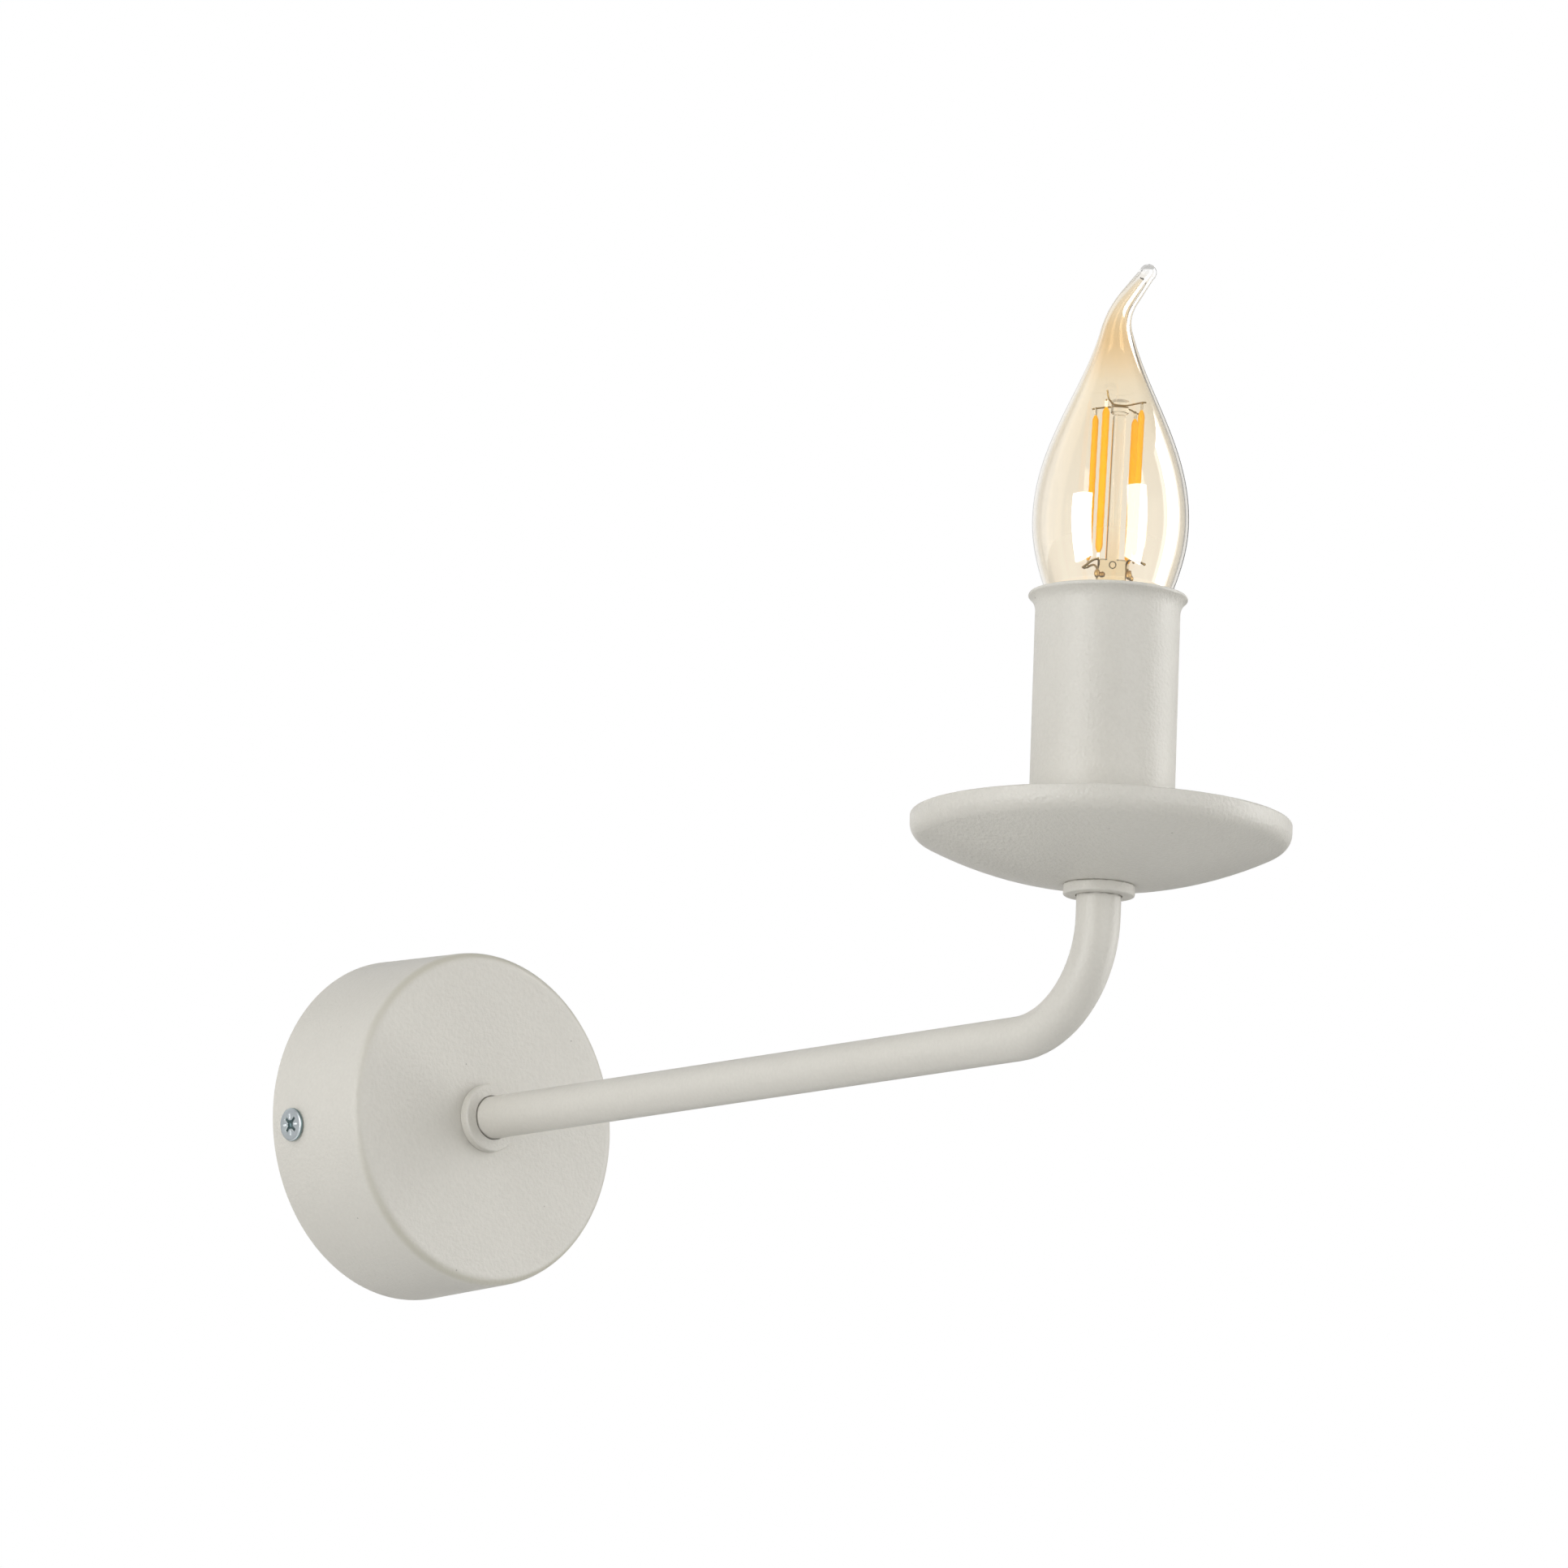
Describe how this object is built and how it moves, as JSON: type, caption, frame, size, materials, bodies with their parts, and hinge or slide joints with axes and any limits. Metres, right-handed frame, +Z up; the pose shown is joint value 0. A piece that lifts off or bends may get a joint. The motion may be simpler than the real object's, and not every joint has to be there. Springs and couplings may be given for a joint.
{
  "type": "wall lamp",
  "caption": "Candle wall lamp: a round canopy carries a bent tube arm with a drip dish, a flared candle sleeve and a flame-tip filament lamp that screws in.",
  "frame": {"origin": "centre of the canopy's open back, on the wall plane", "axes": "+Y into the wall, so the lamp stands out along -Y; +Z up along the candle; +X to the right seen from the room"},
  "size_m": [0.085, 0.2825, 0.2142],
  "materials": {
    "powder_coat": "fine-texture matt powder coat, warm pale grey",
    "zinc_steel": "bright zinc plate",
    "brass": "bare brass",
    "tinned_metal": "tinned",
    "white_plastic": "moulded, slightly milky",
    "black_plastic": "moulded",
    "holder_plastic": "moulded thermoplastic",
    "brown_wire": "extruded insulation",
    "blue_wire": "extruded insulation",
    "green_yellow_wire": "extruded insulation, green and yellow",
    "amber_glass": "clear, amber tinted, glossy",
    "clear_glass": "clear, glossy",
    "filament_coating": "yellow-orange phosphor coating, unlit",
    "nickel": "nickel plate",
    "black_insulator": "vitreous, glossy",
    "circuit_board": "coated board"
  },
  "bodies": {
    "fixture": {"canopy": "powder_coat", "wall_collar": "powder_coat", "arm_tube": "powder_coat", "dish_collar": "powder_coat", "drip_dish": "powder_coat", "candle_sleeve": "powder_coat", "wall_bracket": "zinc_steel", "canopy_screws": "zinc_steel", "rear_washer": "zinc_steel", "rear_nut": "zinc_steel", "candle_nut": "zinc_steel", "block_screw": "zinc_steel", "earth_screw": "zinc_steel", "terminal_screws": "zinc_steel", "lampholder_screws": "zinc_steel", "terminal_sockets": "brass", "centre_contact": "brass", "side_contact": "brass", "terminal_block": "white_plastic", "earth_lug": "tinned_metal", "tube_bush": "black_plastic", "lampholder_base": "holder_plastic", "lampholder_insert": "holder_plastic", "lampholder_body": "holder_plastic", "live_wire": "brown_wire", "neutral_wire": "blue_wire", "earth_wire": "green_yellow_wire"},
    "lamp_foot": {"lamp_contact": "brass"},
    "lamp": {"lamp_glass": "amber_glass", "lamp_cap": "nickel", "lamp_insulator": "black_insulator", "lamp_stem": "clear_glass", "lamp_filaments": "filament_coating", "lamp_leads": "nickel", "lamp_driver": "circuit_board"}
  },
  "joints": [
    {"name": "lamp_lift", "type": "slide", "parent": "fixture", "child": "lamp_foot", "axis": [0, 0, 1], "range_m": [0, 0.0113]},
    {"name": "lamp_turn", "type": "hinge", "parent": "lamp_foot", "child": "lamp", "pos_m": [0, -0.24, 0.0554], "axis": [0, 0, 1], "range_deg": [0, 1440]}
  ],
  "couplings": [
    {"joint": "lamp_lift", "follows": "lamp_turn", "m_per_rad": 0.00044913}
  ]
}
